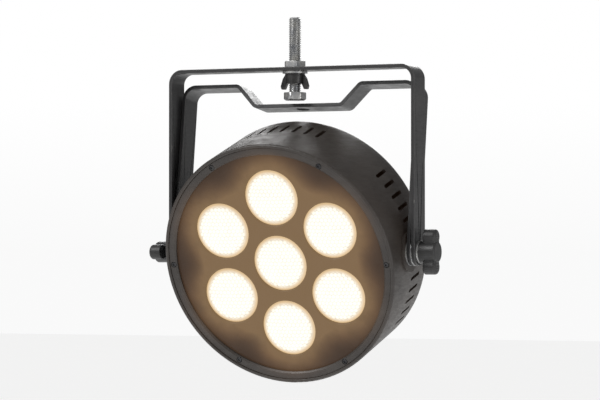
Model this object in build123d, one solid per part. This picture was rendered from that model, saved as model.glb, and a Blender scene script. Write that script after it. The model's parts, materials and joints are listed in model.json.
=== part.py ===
from build123d import *
import os
from math import cos, radians, sin

# Flat LED par can hung by a double bracket. Millimetres, +Z up, the lenses look towards -Y.
# The origin is the seat on top of the lock nut, on the axis of the hanging bolt: a bar rests there.
# Everything in the head is drawn about the tilt axis, looking level, and then tilted and lowered.

# Driving dimensions of the brackets
PIVOT_DROP = 152.5         # seat of the hanging bolt to the tilt axis
HEAD_TILT = 18.0           # the head looks down by this angle at rest
FLOOR_TILT = -7.5          # the floor bracket leans back by this angle at rest
STRAP_WIDTH = 22.0
STRAP_THICK = 3.0
HANGING_TOP = 146.0        # tilt axis to the centre line of the hanging bracket's top
HANGING_HALF = 106.5       # centre line of its arms from the middle
FLOOR_SHOULDER = 134.0     # the same for the floor bracket's two shoulders
FLOOR_DROP = 117.0         # and for its lowered middle
FLOOR_HALF = 102.5
FLOOR_STEP_OUT = 54.0
FLOOR_STEP_IN = 38.0
BEND_R = 10.0
STEP_BEND_R = 5.0

# Hanging bolt, M10 x 60, head down, and its nuts
BOLT_R = 5.0
SHANK_R = 4.7              # below the seat, where the nuts sit
BOLT_LENGTH = 60.0
BOLT_HEAD = 6.4
BOLT_FLATS = 16.0
FREE_THREAD = 35.0
LOCK_NUT = 5.0
BOLT_HOLE_R = 5.25

# Pivot stack along X, from the middle of the head outwards
BOSS_FACE = 100.0
FLOOR_ARM_IN = FLOOR_HALF - STRAP_THICK / 2
FLOOR_ARM_OUT = FLOOR_HALF + STRAP_THICK / 2
HANGING_ARM_IN = HANGING_HALF - STRAP_THICK / 2
HANGING_ARM_OUT = HANGING_HALF + STRAP_THICK / 2
PIVOT_R = 4.0              # M8 stud of each hand knob
PIVOT_WASHER_R = 11.0
WASHER_HOLE_R = 4.3
FACE_GAP = 0.05            # between flat faces that turn on each other
RUNNING_GAP = 0.05         # round a stud or shaft that turns in a hole
SCREW_GAP = 0.05           # round the shank of a screw

# Screws of the head: M3 and M2.5
SCREW_R = 1.5
SCREW_HOLE_R = SCREW_R + SCREW_GAP
SMALL_SCREW_R = 1.25
SMALL_HOLE_R = SMALL_SCREW_R + SCREW_GAP

# Hand knob
KNOB_WASHER = 1.5
KNOB_HUB_R = 8.5
KNOB_IN = 112.5
KNOB_OUT = 123.0
KNOB_REACH = 17.8
KNOB_TIP_R = 6.0

# Head, measured along Y from the tilt axis; the front is negative
DRUM_R = 99.0
DRUM_WALL = 3.0
DRUM_INNER_R = DRUM_R - DRUM_WALL
RIM_FACE = -34.0
BEZEL_FACE = -33.0
PLATE_FACE = -30.0
PLATE_THICK = 3.0
PLATE_BACK = PLATE_FACE + PLATE_THICK
GASKET = 1.0
FLANGE_FACE = PLATE_BACK + GASKET
FLANGE_THICK = 3.0
FLANGE_R = 88.0
BOARD_FACE = -3.0
BOARD_BACK = -1.0
SINK_BACK = 3.0
FIN_REACH = 78.0
FIN_PITCH = 10
POST_R = 4.5
FIN_BACK = 19.0
DRUM_BACK = 28.0
CONE_FRONT = 34.0
CONE_BACK = 55.0
REAR_WALL = 2.5
PANEL_IN = 56.0
PANEL_OUT = 58.0
PANEL_R = 75.0
LEDGE_R = 70.0

# Lenses: one in the middle and six round it
LENS_PITCH = 54.0
LENS_COUNT = 6
LENS_R = 22.6
LENS_FLANGE_R = 25.2
LENS_BACK = -7.0
HOLDER_R = 25.6

# Pivot bosses, inner lugs and screws of the drum
PIVOT_BOSS_R = 16.0
INSERT_R = 7.0
INSERT_IN = 86.0
LUG_ANGLES = (45, 135, 225, 315)
LUG_R = 87.0
REAR_SCREW_ANGLES = (60, 120, 240, 300)
REAR_SCREW_R = 90.0
BEZEL_SCREW_ANGLES = (0, 60, 120, 180, 240, 300)
BEZEL_SCREW_R = 92.8

# Rear panel: centres of what is set in it, as X and Z
DISPLAY_Z = 39.0
DISPLAY_SIZE = (48.0, 20.0)
BUTTON_XS = (-24.0, -8.0, 8.0, 24.0)
BUTTON_Z = 20.0
BUTTON_R = 3.6
BUTTON_TRAVEL = 0.8
DMX_X = 30.0
DMX_Z = -8.0
DMX_FLANGE = (26.0, 31.0)
DMX_BODY_R = 11.9
MAINS_X = 21.0
MAINS_Z = -44.0
MAINS_FLANGE = (31.0, 24.0)
MAINS_BODY = (27.0, 19.8)
FUSE_X = 52.0
FUSE_Z = -30.0
TAB_SLOT = (8.6, 5.6)
TAB_Z = 11.6               # centre of the slot above the socket's own centre
EYE_Z = 79.0
EYE_HALF = 8.0
EYE_R = 2.0

# Fan and circuit boards
FAN_SIZE = 60.0
FAN_BACK = 34.0
FAN_BORE_R = 28.5
FAN_HOLE = 25.0
INNER_BOARD_FRONT = 36.0
INNER_BOARD_BACK = 37.6
STANDOFFS = ((38.0, 40.0), (20.0, 70.0))
CONTROL_FRONT = 45.4
CONTROL_BACK = 47.0
CONTROL_HOLES = ((-31.0, 12.0), (31.0, 12.0), (-31.0, 50.0), (31.0, 50.0))


# Basic solids ---------------------------------------------------------------------------------

def along_x(radius, start, end, y=0.0, z=0.0):
    return Pos((start + end) / 2, y, z) * Rot(0, 90, 0) * Cylinder(radius, abs(end - start))


def along_y(radius, start, end, x=0.0, z=0.0):
    return Pos(x, (start + end) / 2, z) * Rot(90, 0, 0) * Cylinder(radius, abs(end - start))


def along_z(radius, start, end, x=0.0, y=0.0):
    return Pos(x, y, (start + end) / 2) * Cylinder(radius, abs(end - start))


def block(x_range, y_range, z_range):
    """Box between two values on each axis."""
    spans = [high - low for low, high in (x_range, y_range, z_range)]
    middle = [(high + low) / 2 for low, high in (x_range, y_range, z_range)]
    return Pos(*middle) * Box(*spans)


def plate(width, height, start, end, x=0.0, z=0.0, corner=0.0):
    """Flat plate facing along Y, with rounded corners."""
    outline = RectangleRounded(width, height, corner) if corner else Rectangle(width, height)
    return Pos(x, end, z) * Rot(90, 0, 0) * extrude(outline, end - start)


def turned(points, radii=None):
    """Solid of revolution about Y; each point is a radius and a place along Y."""
    if radii is None:
        outline = Polyline(*points, close=True)
    else:
        outline = FilletPolyline(*points, radius=radii, close=True)
    return revolve(make_face(outline), Axis.Y)


def hexagon_z(flats, start, end):
    return Pos(0, 0, start) * extrude(RegularPolygon(flats / 2, 6, major_radius=False), end - start)


def round_about_y(radius, angle):
    """X and Z of a point on a circle about the head's axis."""
    return radius * cos(radians(angle)), radius * sin(radians(angle))


def screw(x, z, seat, tip, head_r=2.8, head=2.0, shank_r=SCREW_R):
    """Pan-head screw along Y with a hexagon socket; its head stands on the side away from its tip."""
    outward = 1 if seat > tip else -1
    top = seat + outward * head
    shoulder = seat + outward * head * 0.5
    body = turned([(0, tip), (shank_r, tip), (shank_r, seat), (head_r, seat), (head_r, shoulder),
                   (head_r * 0.8, top), (0, top)])
    socket = Rot(90, 0, 0) * extrude(RegularPolygon(head_r * 0.5, 6), head * 0.6, both=True)
    return Pos(x, 0, z) * (body - Pos(0, top, 0) * socket)


def washer_x(inner, outer, start, end):
    return along_x(outer, start, end) - along_x(inner, start - 1, end + 1)


def both_sides(shape):
    """A piece and its twin on the other side of the head, as two solids."""
    return Compound([shape, mirror(shape, Plane.YZ)])


# Placing ----------------------------------------------------------------------------------------

AT_PIVOT = Pos(0, 0, -PIVOT_DROP)
IN_HEAD = AT_PIVOT * Rot(HEAD_TILT, 0, 0)
IN_FLOOR_BRACKET = AT_PIVOT * Rot(FLOOR_TILT, 0, 0)


# Brackets ---------------------------------------------------------------------------------------

def bent_strap(points, radii, top):
    """Flat bar bent along a line in XZ, with round ends about the tilt axis."""
    line = FilletPolyline(*points, radius=radii)
    bar = Rot(90, 0, 0) * extrude(trace(line, STRAP_THICK), STRAP_WIDTH / 2, both=True)
    half = HANGING_HALF + 2 * STRAP_THICK
    keep = along_x(STRAP_WIDTH / 2, -half, half)
    keep += block((-half, half), (-STRAP_WIDTH / 2, STRAP_WIDTH / 2), (0, top + STRAP_THICK))
    bar = bar & keep
    return bar - along_x(PIVOT_R + RUNNING_GAP, -half, half)


def hanging_bracket():
    foot = -STRAP_WIDTH / 2
    points = [(-HANGING_HALF, foot), (-HANGING_HALF, HANGING_TOP),
              (HANGING_HALF, HANGING_TOP), (HANGING_HALF, foot)]
    bar = bent_strap(points, [BEND_R, BEND_R], HANGING_TOP)
    return bar - along_z(BOLT_HOLE_R, HANGING_TOP - STRAP_THICK, HANGING_TOP + STRAP_THICK)


def floor_bracket():
    foot = -STRAP_WIDTH / 2
    right = [(FLOOR_STEP_IN, FLOOR_DROP), (FLOOR_STEP_OUT, FLOOR_SHOULDER),
             (FLOOR_HALF, FLOOR_SHOULDER), (FLOOR_HALF, foot)]
    left = [(-x, z) for x, z in reversed(right)]
    radii = [BEND_R, STEP_BEND_R, STEP_BEND_R, STEP_BEND_R, STEP_BEND_R, BEND_R]
    bar = bent_strap(left + right, radii, FLOOR_SHOULDER)
    return bar - along_z(BOLT_HOLE_R, FLOOR_DROP - STRAP_THICK, FLOOR_DROP + STRAP_THICK)


# Hanging bolt -----------------------------------------------------------------------------------

def hanging_bolt():
    """Hexagon bolt, head down; its thread above the seat is free for the bar."""
    seat = FREE_THREAD - BOLT_LENGTH
    head = hexagon_z(BOLT_FLATS, seat - BOLT_HEAD, seat)
    head = head & along_z(BOLT_FLATS * 0.56, seat - BOLT_HEAD, seat)
    thread = along_z(BOLT_R, 0, FREE_THREAD)
    thread = chamfer(thread.edges().sort_by(Axis.Z)[-1], 1.0)
    return head + along_z(SHANK_R, seat, 0) + thread


def bolt_lock_nut():
    return hexagon_z(BOLT_FLATS, -LOCK_NUT, 0) - along_z(SHANK_R + SCREW_GAP, -LOCK_NUT - 1, 1)


def strap_underside():
    return HANGING_TOP - STRAP_THICK / 2 - PIVOT_DROP


def bolt_washer():
    top = strap_underside()
    return along_z(10.0, top - 2.0, top) - along_z(BOLT_HOLE_R, top - 3, top + 1)


def wing_nut():
    """Wing nut: a round hub with two ears that reach down and outwards, away from the washer."""
    top = strap_underside() - 2.0 - FACE_GAP
    hub = along_z(8.0, top - 8.0, top)
    outline = Polyline((5, 0), (6.5, -8), (8.5, -12.5), (11.2, -12.5), (12, -10), (10.2, -4), (7.5, 0),
                       close=True)
    ear = extrude(make_face(outline), 1.6, both=True)
    ear = fillet(ear.edges().filter_by(Axis.Z), 0.6)
    ear = Pos(0, 0, top) * Rot(90, 0, 0) * ear
    body = hub + ear + mirror(ear, Plane.YZ)
    return body - along_z(SHANK_R + RUNNING_GAP, top - 20, top + 1)


# Pivot ------------------------------------------------------------------------------------------

def inner_washer():
    return washer_x(WASHER_HOLE_R, PIVOT_WASHER_R, BOSS_FACE, FLOOR_ARM_IN - FACE_GAP)


def middle_washer():
    return washer_x(WASHER_HOLE_R, PIVOT_WASHER_R, FLOOR_ARM_OUT + FACE_GAP, HANGING_ARM_IN)


def knob_washer():
    return washer_x(WASHER_HOLE_R, 9.0, HANGING_ARM_OUT, HANGING_ARM_OUT + KNOB_WASHER)


def pivot_insert():
    """Threaded brass insert, blind at its inner end."""
    return along_x(INSERT_R, INSERT_IN, BOSS_FACE) - along_x(
        PIVOT_R + RUNNING_GAP, INSERT_IN + 2, BOSS_FACE + 1)


def knob_stud():
    """Steel stud of a hand knob; it is moulded into the knob's hub."""
    stud = along_x(PIVOT_R, INSERT_IN + 3, KNOB_IN + 4)
    return chamfer(stud.edges().sort_by(Axis.X)[0], 0.8)


def hand_knob():
    """Plastic knob with a hub and two wings that reach up and down."""
    seat = HANGING_ARM_OUT + KNOB_WASHER + FACE_GAP
    centre = KNOB_REACH - KNOB_TIP_R
    tips = Pos(0, centre) * Circle(KNOB_TIP_R) + Pos(0, -centre) * Circle(KNOB_TIP_R)
    waist = Rectangle(2 * KNOB_TIP_R - 1.5, 2 * centre)
    wings = extrude(tips + waist, KNOB_OUT - KNOB_IN)
    wings = Pos(KNOB_IN, 0, 0) * Rot(0, 90, 0) * Rot(0, 0, 90) * wings
    wings = fillet(wings.edges().group_by(Axis.X)[-1], 2.2)
    wings = fillet(wings.edges().group_by(Axis.X)[0], 1.0)
    hub = along_x(KNOB_HUB_R, seat, KNOB_OUT + 0.6)
    hub = fillet(hub.edges().sort_by(Axis.X)[-1], 1.6)
    return hub + wings - along_x(PIVOT_R, seat - 1, KNOB_IN + 4)


# Drum -------------------------------------------------------------------------------------------

def lug_places():
    return [round_about_y(LUG_R, angle) for angle in LUG_ANGLES]


def vent_slots():
    """Slots through the side wall of the drum: three groups above the tilt axis, three below."""
    angles = []
    for middle, steps in ((26, 2), (90, 3), (154, 2), (206, 2), (270, 3), (334, 2)):
        angles += [middle + 6 * step for step in range(-steps, steps + 1)]
    slot = Pos(DRUM_R, 12, 0) * Rot(0, 90, 0) * extrude(SlotOverall(18, 3, rotation=90), 8, both=True)
    return [Rot(0, angle, 0) * slot for angle in angles]


def main_shell():
    """Drum: side wall, front flange, pivot bosses and the bosses for its screws."""
    shell = turned(
        [(DRUM_INNER_R, RIM_FACE), (DRUM_R, RIM_FACE), (DRUM_R, DRUM_BACK), (DRUM_INNER_R, DRUM_BACK),
         (DRUM_INNER_R, FLANGE_FACE + FLANGE_THICK), (FLANGE_R, FLANGE_FACE + FLANGE_THICK),
         (FLANGE_R, FLANGE_FACE), (DRUM_INNER_R, FLANGE_FACE)],
        [0.8, 1.8, 0, 0, 0, 0, 0, 0])
    for slot in vent_slots():
        shell -= slot
    for side in (-1, 1):
        boss = along_x(PIVOT_BOSS_R, side * 93, side * BOSS_FACE)
        boss += along_x(11, side * (INSERT_IN - 2), side * 94)
        shell += boss
    lugs = []
    for angle in LUG_ANGLES:
        x, z = round_about_y(LUG_R, angle)
        outer_x, outer_z = round_about_y(93, angle)
        lugs.append(along_y(5, SINK_BACK, SINK_BACK + 10, x, z))
        lugs.append(along_y(5.6, SINK_BACK, SINK_BACK + 10, outer_x, outer_z))
    for x, z in rear_screw_places():
        lugs.append(along_y(6.5, SINK_BACK + 4, DRUM_BACK, x, z))
    for angle in BEZEL_SCREW_ANGLES:
        x, z = round_about_y(BEZEL_SCREW_R, angle)
        lugs.append(along_y(4, FLANGE_FACE + 1, FLANGE_FACE + 9, x, z))
    for lug in lugs:
        shell += lug & along_y(DRUM_R - 1, RIM_FACE, DRUM_BACK)
    for side in (-1, 1):
        shell -= along_x(INSERT_R, side * INSERT_IN, side * (BOSS_FACE + 1))
    for x, z in lug_places():
        shell -= along_y(SCREW_HOLE_R, SINK_BACK - 1, SINK_BACK + 11, x, z)
    for x, z in rear_screw_places():
        shell -= along_y(SCREW_HOLE_R, DRUM_BACK - 14, DRUM_BACK + 1, x, z)
    for angle in BEZEL_SCREW_ANGLES:
        x, z = round_about_y(BEZEL_SCREW_R, angle)
        shell -= along_y(SMALL_HOLE_R, FLANGE_FACE - 1, FLANGE_FACE + 8, x, z)
    return shell


def bezel_holes(start, end, radius=SMALL_HOLE_R):
    places = [round_about_y(BEZEL_SCREW_R, angle) for angle in BEZEL_SCREW_ANGLES]
    return [along_y(radius, start, end, x, z) for x, z in places]


def front_bezel():
    ring = turned([(90.0, PLATE_FACE), (90.0, BEZEL_FACE + 1.2), (91.2, BEZEL_FACE),
                   (DRUM_INNER_R - 0.3, BEZEL_FACE), (DRUM_INNER_R - 0.3, PLATE_FACE)])
    for hole in bezel_holes(BEZEL_FACE - 1, PLATE_FACE + 1):
        ring -= hole
    for hole in bezel_holes(BEZEL_FACE - 1, BEZEL_FACE + 1.2, 2.4):
        ring -= hole
    return ring


def bezel_screws():
    places = [round_about_y(BEZEL_SCREW_R, angle) for angle in BEZEL_SCREW_ANGLES]
    seat = BEZEL_FACE + 1.2
    tip = FLANGE_FACE + 7
    return Compound([screw(x, z, seat, tip, 2.3, 1.2, SMALL_SCREW_R) for x, z in places])


def lens_places():
    """X and Z of each lens: the middle one first, then anticlockwise from the right."""
    places = [(0.0, 0.0)]
    for index in range(LENS_COUNT):
        places.append(round_about_y(LENS_PITCH, 30 + 60 * index))
    return places


def lens_plate():
    disc = along_y(DRUM_INNER_R - 0.5, PLATE_FACE, PLATE_BACK)
    for x, z in lens_places():
        cut = turned([(0, PLATE_FACE - 1), (LENS_R + 2.0, PLATE_FACE - 1), (LENS_R + 0.2, PLATE_FACE + 0.8),
                      (LENS_R + 0.2, PLATE_BACK + 1), (0, PLATE_BACK + 1)])
        disc -= Pos(x, 0, z) * cut
    for hole in bezel_holes(PLATE_FACE - 1, PLATE_BACK + 1):
        disc -= hole
    return disc


def face_gasket():
    ring = along_y(DRUM_INNER_R - 0.5, PLATE_BACK, FLANGE_FACE) - along_y(
        FLANGE_R + 1, PLATE_BACK - 1, FLANGE_FACE + 1)
    for hole in bezel_holes(PLATE_BACK - 1, FLANGE_FACE + 1):
        ring -= hole
    return ring


# Optics -----------------------------------------------------------------------------------------

def lens():
    """Solid collimator lens: shallow dome in front, cone behind, and a pocket for the emitter."""
    dome = ThreePointArc((0, PLATE_FACE - 1.2), (LENS_R * 0.52, PLATE_FACE - 0.6), (LENS_R, PLATE_FACE + 1.2))
    rest = Polyline((LENS_R, PLATE_FACE + 1.2), (LENS_R, PLATE_BACK), (LENS_FLANGE_R, PLATE_BACK),
                    (LENS_FLANGE_R, PLATE_BACK + 1.5), (LENS_R - 1, PLATE_BACK + 1.5),
                    (15.5, -15), (7, LENS_BACK), (4.5, LENS_BACK), (4, LENS_BACK - 5),
                    (0, LENS_BACK - 5), (0, PLATE_FACE - 1.2))
    return revolve(make_face([dome, rest]), Axis.Y)


def lens_holder():
    """Thin plastic cup that stands on the board and carries the lens by its flange."""
    top = PLATE_BACK + 1.5
    return turned([(HOLDER_R, top), (HOLDER_R, -16), (12.5, BOARD_FACE), (11.2, BOARD_FACE),
                   (HOLDER_R - 1.3, -16.4), (HOLDER_R - 1.3, top)])


def led_emitter():
    base = block((-3.5, 3.5), (BOARD_FACE - 1, BOARD_FACE), (-3.5, 3.5))
    dome = Pos(0, BOARD_FACE - 1, 0) * Sphere(2.7)
    return base + (dome & block((-4, 4), (BOARD_FACE - 5, BOARD_FACE - 0.5), (-4, 4)))


def led_board():
    board = along_y(80, BOARD_FACE, BOARD_BACK)
    for x, z in board_screw_places():
        board -= along_y(SCREW_HOLE_R, BOARD_FACE - 1, BOARD_BACK + 1, x, z)
    return board


def board_screw_places():
    """Midway between the middle lens and two of its neighbours."""
    return [round_about_y(LENS_PITCH / 3 ** 0.5, angle) for angle in (0, 120, 240)]


def heat_sink():
    """Aluminium plate with upright fins behind it, and posts for the fan and the boards."""
    posts = [(x, z) for x in (-FAN_HOLE, FAN_HOLE) for z in (-FAN_HOLE, FAN_HOLE)]
    posts += standoff_places()
    fins = along_y(FIN_REACH, SINK_BACK - 1, FIN_BACK)
    rows = range(-70, 71, FIN_PITCH)
    fins &= Compound([block((x - 1, x + 1), (SINK_BACK - 1, FIN_BACK), (-80, 80)) for x in rows])
    for x, z in posts:
        fins += along_y(POST_R, SINK_BACK - 1, FIN_BACK, x, z)
    sink = along_y(LUG_R + 4, BOARD_BACK, SINK_BACK) + fins
    for x, z in posts:
        sink -= along_y(SCREW_HOLE_R, FIN_BACK - 10, FIN_BACK + 1, x, z)
    for x, z in lug_places() + board_screw_places():
        sink -= along_y(SCREW_HOLE_R, BOARD_BACK - 1, SINK_BACK + 1, x, z)
    for side in (-1, 1):
        sink -= along_x(11.5, side * (INSERT_IN - 3), side * DRUM_R)
    return sink


def standoff_places():
    places = []
    for side in (-1, 1):
        for x, z in STANDOFFS:
            places += [(x, side * z), (-x, side * z)]
    return places


# Fan and boards ---------------------------------------------------------------------------------

def fan_frame():
    frame = plate(FAN_SIZE, FAN_SIZE, FIN_BACK, FAN_BACK, corner=4)
    frame -= along_y(FAN_BORE_R, FIN_BACK - 1, FAN_BACK + 1)
    frame += along_y(13, FAN_BACK - 2, FAN_BACK)
    frame += along_y(4, FAN_BACK - 8, FAN_BACK)
    for angle in (45, 135, 225, 315):
        arm = block((12, FAN_BORE_R + 1), (FAN_BACK - 2, FAN_BACK), (-1.5, 1.5))
        frame += Rot(0, angle, 0) * arm
    frame -= along_y(1.5 + RUNNING_GAP, FAN_BACK - 9, FAN_BACK - 0.8)
    for x in (-FAN_HOLE, FAN_HOLE):
        for z in (-FAN_HOLE, FAN_HOLE):
            frame -= along_y(SCREW_HOLE_R, FIN_BACK - 1, FAN_BACK + 1, x, z)
    return frame


def fan_rotor():
    """Rotor with a cup-shaped hub, a shaft and seven pitched blades."""
    front = FIN_BACK + 1
    back = FAN_BACK - 3
    hub = along_y(12.5, front, back) - along_y(11, front + 1.5, back + 1)
    hub += along_y(1.5, front + 1, FAN_BACK - 1.2)
    blade = block((11.8, 27.4), (front + 1, back - 1), (-0.7, 0.7))
    blade = Pos(0, (front + back) / 2, 0) * Rot(35, 0, 0) * Pos(0, -(front + back) / 2, 0) * blade
    blade = blade & (along_y(27.6, front, back) - along_y(11.8, front - 1, back + 1))
    for index in range(7):
        hub += Rot(0, index * 360 / 7, 0) * blade
    return hub


def round_holes(board, places, start, end):
    for x, z in places:
        board -= along_y(SCREW_HOLE_R, start - 1, end + 1, x, z)
    return board


def inner_board(side):
    board = plate(86, 44, INNER_BOARD_FRONT, INNER_BOARD_BACK, 0, side * 56)
    board = board & along_y(80, INNER_BOARD_FRONT, INNER_BOARD_BACK)
    places = [(x, z) for x, z in standoff_places() if z * side > 0]
    return round_holes(board, places, INNER_BOARD_FRONT, INNER_BOARD_BACK)


def power_board():
    """Mains supply board below the fan, its transformer, capacitor and choke facing forward."""
    front = INNER_BOARD_FRONT
    transformer = block((-30, -8), (front - 14, front), (-66, -46))
    capacitor = along_y(7, front - 14, front, 8, -56)
    choke = along_y(6.5, front - 10, front, 26, -62) - along_y(3, front - 11, front - 1, 26, -62)
    return Compound([inner_board(-1), transformer, capacitor, choke])


def driver_board():
    """LED driver board above the fan, with four inductors and two chips facing forward."""
    front = INNER_BOARD_FRONT
    pieces = [inner_board(1)]
    pieces += [along_y(5, front - 8, front, x, 58) for x in (-27, -9, 9, 27)]
    pieces += [block((x - 5, x + 5), (front - 2, front), (44, 50)) for x in (-14, 14)]
    return Compound(pieces)


def standoff(x, z, start, end):
    hexagon = RegularPolygon(2.75, 6, major_radius=False)
    pillar = Pos(x, end, z) * Rot(90, 0, 0) * extrude(hexagon, end - start)
    return pillar - along_y(SCREW_HOLE_R, start - 1, end + 1, x, z)


def standoffs():
    pillars = [standoff(x, z, FIN_BACK, INNER_BOARD_FRONT) for x, z in standoff_places()]
    pillars += [standoff(x, z, CONTROL_BACK, PANEL_IN) for x, z in CONTROL_HOLES]
    return Compound(pillars)


def inner_screws():
    """Screws of the heat sink, the light board, the fan and the circuit boards."""
    screws = []
    screws += [screw(x, z, BOARD_BACK, SINK_BACK + 9) for x, z in lug_places()]
    screws += [screw(x, z, BOARD_FACE, SINK_BACK - 0.5) for x, z in board_screw_places()]
    for x in (-FAN_HOLE, FAN_HOLE):
        for z in (-FAN_HOLE, FAN_HOLE):
            screws.append(screw(x, z, FAN_BACK, FIN_BACK - 8))
    screws += [screw(x, z, INNER_BOARD_BACK, FIN_BACK + 9) for x, z in standoff_places()]
    screws += [screw(x, z, CONTROL_FRONT, PANEL_IN - 1) for x, z in CONTROL_HOLES]
    return Compound(screws)


def control_board():
    board = plate(70, 46, CONTROL_FRONT, CONTROL_BACK, 0, 31)
    return round_holes(board, CONTROL_HOLES, CONTROL_FRONT, CONTROL_BACK)


def tact_switches():
    bodies = []
    for x in BUTTON_XS:
        body = plate(6, 6, CONTROL_BACK, CONTROL_BACK + 3.5, x, BUTTON_Z)
        bodies.append(body + along_y(1.7, CONTROL_BACK + 3, button_foot() - BUTTON_TRAVEL - 0.1, x, BUTTON_Z))
    return Compound(bodies)


def display_module():
    """Four-digit display on the control board."""
    width, height = DISPLAY_SIZE
    return plate(width - 6, height - 4, CONTROL_BACK, PANEL_IN - 0.6, 0, DISPLAY_Z)


# Rear -------------------------------------------------------------------------------------------

def rear_shell():
    """Tapered rear cover with a ledge for the panel, vents in the taper and four screw pockets."""
    ledge_front = PANEL_IN - REAR_WALL
    shell = turned(
        [(DRUM_R, DRUM_BACK), (DRUM_R, CONE_FRONT), (87.0, CONE_BACK), (83.5, PANEL_OUT + 0.5),
         (PANEL_R + 0.2, PANEL_OUT + 0.5), (PANEL_R + 0.2, PANEL_IN), (LEDGE_R, PANEL_IN),
         (LEDGE_R, ledge_front), (84.5, ledge_front), (DRUM_INNER_R, CONE_FRONT),
         (DRUM_INNER_R, DRUM_BACK)],
        [0, 6, 5, 2, 0.6, 0, 0, 0, 0, 0, 0])
    shell += spigot()
    envelope = turned([(0, DRUM_BACK - 5), (DRUM_R - 1, DRUM_BACK - 5), (DRUM_R - 1, CONE_FRONT),
                       (85.5, CONE_BACK + 1), (0, CONE_BACK + 1)])
    for x, z in rear_screw_places():
        shell += along_y(6.6, DRUM_BACK, CONE_BACK, x, z) & envelope
        shell -= along_y(3.4, DRUM_BACK + 6, PANEL_OUT, x, z)
        shell -= along_y(SCREW_HOLE_R, DRUM_BACK - 1, DRUM_BACK + 7, x, z)
    for slot in cone_vents():
        shell -= slot
    for x, z in panel_screw_places():
        shell -= along_y(SMALL_HOLE_R, ledge_front - 1, PANEL_IN + 1, x, z)
    for x in (-EYE_HALF, EYE_HALF):
        shell -= along_y(EYE_R + SCREW_GAP, ledge_front - 1, PANEL_OUT + 1, x, EYE_Z)
    return shell


def spigot():
    """Lip of the rear cover that locates inside the drum, notched for the drum's screw bosses."""
    outer = DRUM_INNER_R - 0.1
    inner = DRUM_INNER_R - 2.1
    lip = turned([(outer, DRUM_BACK - 4), (outer, DRUM_BACK), (outer + 1, DRUM_BACK),
                  (outer + 1, DRUM_BACK + 2), (inner, DRUM_BACK + 2), (inner, DRUM_BACK - 4)])
    for x, z in rear_screw_places():
        lip -= along_y(7.0, DRUM_BACK - 5, DRUM_BACK, x, z)
    return lip


def cone_vents():
    """Slots in the taper, on both sides and below."""
    angles = []
    for middle, steps in ((0, 5), (180, 5), (90, 2)):
        angles += [middle + 7 * step for step in range(-steps, steps + 1)]
    slot = Pos(93, (CONE_FRONT + CONE_BACK) / 2, 0) * Rot(0, 0, 30) * Box(16, 15, 3)
    return [Rot(0, angle, 0) * slot for angle in angles]


def rear_screw_places():
    return [round_about_y(REAR_SCREW_R, angle) for angle in REAR_SCREW_ANGLES]


def rear_screws():
    return Compound([screw(x, z, DRUM_BACK + 6, DRUM_BACK - 12, 3.0, 2.4) for x, z in rear_screw_places()])


def panel_screw_places():
    return [round_about_y(LEDGE_R + 2.4, angle) for angle in (15, 90, 165, 195, 250, 290, 345)]


def dmx_screw_places():
    places = []
    for side in (-1, 1):
        x = side * DMX_X
        places += [(x - 9.5, DMX_Z + 12.0), (x + 9.5, DMX_Z - 12.0)]
    return places


def rear_panel():
    panel = along_y(PANEL_R, PANEL_IN, PANEL_OUT)
    width, height = DISPLAY_SIZE
    panel -= plate(width + 0.2, height + 0.2, PANEL_IN - 1, PANEL_OUT + 1, 0, DISPLAY_Z)
    for x in BUTTON_XS:
        panel -= along_y(BUTTON_R + 0.4, PANEL_IN - 1, PANEL_OUT + 1, x, BUTTON_Z)
    for side in (-1, 1):
        panel -= along_y(DMX_BODY_R + 0.1, PANEL_IN - 1, PANEL_OUT + 1, side * DMX_X, DMX_Z)
        panel -= plate(MAINS_BODY[0] + 0.2, MAINS_BODY[1] + 0.2, PANEL_IN - 1, PANEL_OUT + 1,
                       side * MAINS_X, MAINS_Z)
    panel -= plate(*TAB_SLOT, PANEL_IN - 1, PANEL_OUT + 1, DMX_X, DMX_Z + TAB_Z)
    panel -= along_y(7.1, PANEL_IN - 1, PANEL_OUT + 1, FUSE_X, FUSE_Z)
    for x, z in panel_screw_places() + dmx_screw_places():
        panel -= along_y(SMALL_HOLE_R, PANEL_IN - 1, PANEL_OUT + 1, x, z)
    return panel


def panel_screws():
    """Screws of the rear panel and of the two signal sockets."""
    size = (2.3, 1.4, SMALL_SCREW_R)
    screws = [screw(x, z, PANEL_OUT, PANEL_IN - 2.3, *size) for x, z in panel_screw_places()]
    screws += [screw(x, z, PANEL_OUT + 2, PANEL_IN - 1, *size) for x, z in dmx_screw_places()]
    return Compound(screws)


def display_window():
    width, height = DISPLAY_SIZE
    return plate(width, height, PANEL_IN, PANEL_OUT + 0.5, 0, DISPLAY_Z)


def button_foot():
    return PANEL_IN - 3.4


def button(x):
    """Push button with a collar behind the panel."""
    cap = along_y(BUTTON_R, button_foot(), PANEL_OUT + 2.4, x, BUTTON_Z)
    cap = fillet(cap.edges().sort_by(Axis.Y)[-1], 0.8)
    return cap + along_y(BUTTON_R + 1.4, button_foot(), PANEL_IN - 1.0, x, BUTTON_Z)


def dmx_flange(side):
    flange = plate(*DMX_FLANGE, PANEL_OUT, PANEL_OUT + 2, side * DMX_X, DMX_Z, corner=2.5)
    flange += along_y(12.4, PANEL_OUT + 1, PANEL_OUT + 3.5, side * DMX_X, DMX_Z)
    flange += along_y(DMX_BODY_R, PANEL_OUT - 18, PANEL_OUT + 1, side * DMX_X, DMX_Z)
    for x, z in dmx_screw_places():
        flange -= along_y(SMALL_HOLE_R, PANEL_OUT - 1, PANEL_OUT + 3, x, z)
        flange -= along_y(2.5, PANEL_OUT + 2, PANEL_OUT + 5, x, z)
    return flange


def dmx_pin_places(side):
    angles = (150, 30, 270)
    return [(side * DMX_X + x, DMX_Z + z) for x, z in [round_about_y(3.6, angle) for angle in angles]]


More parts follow.
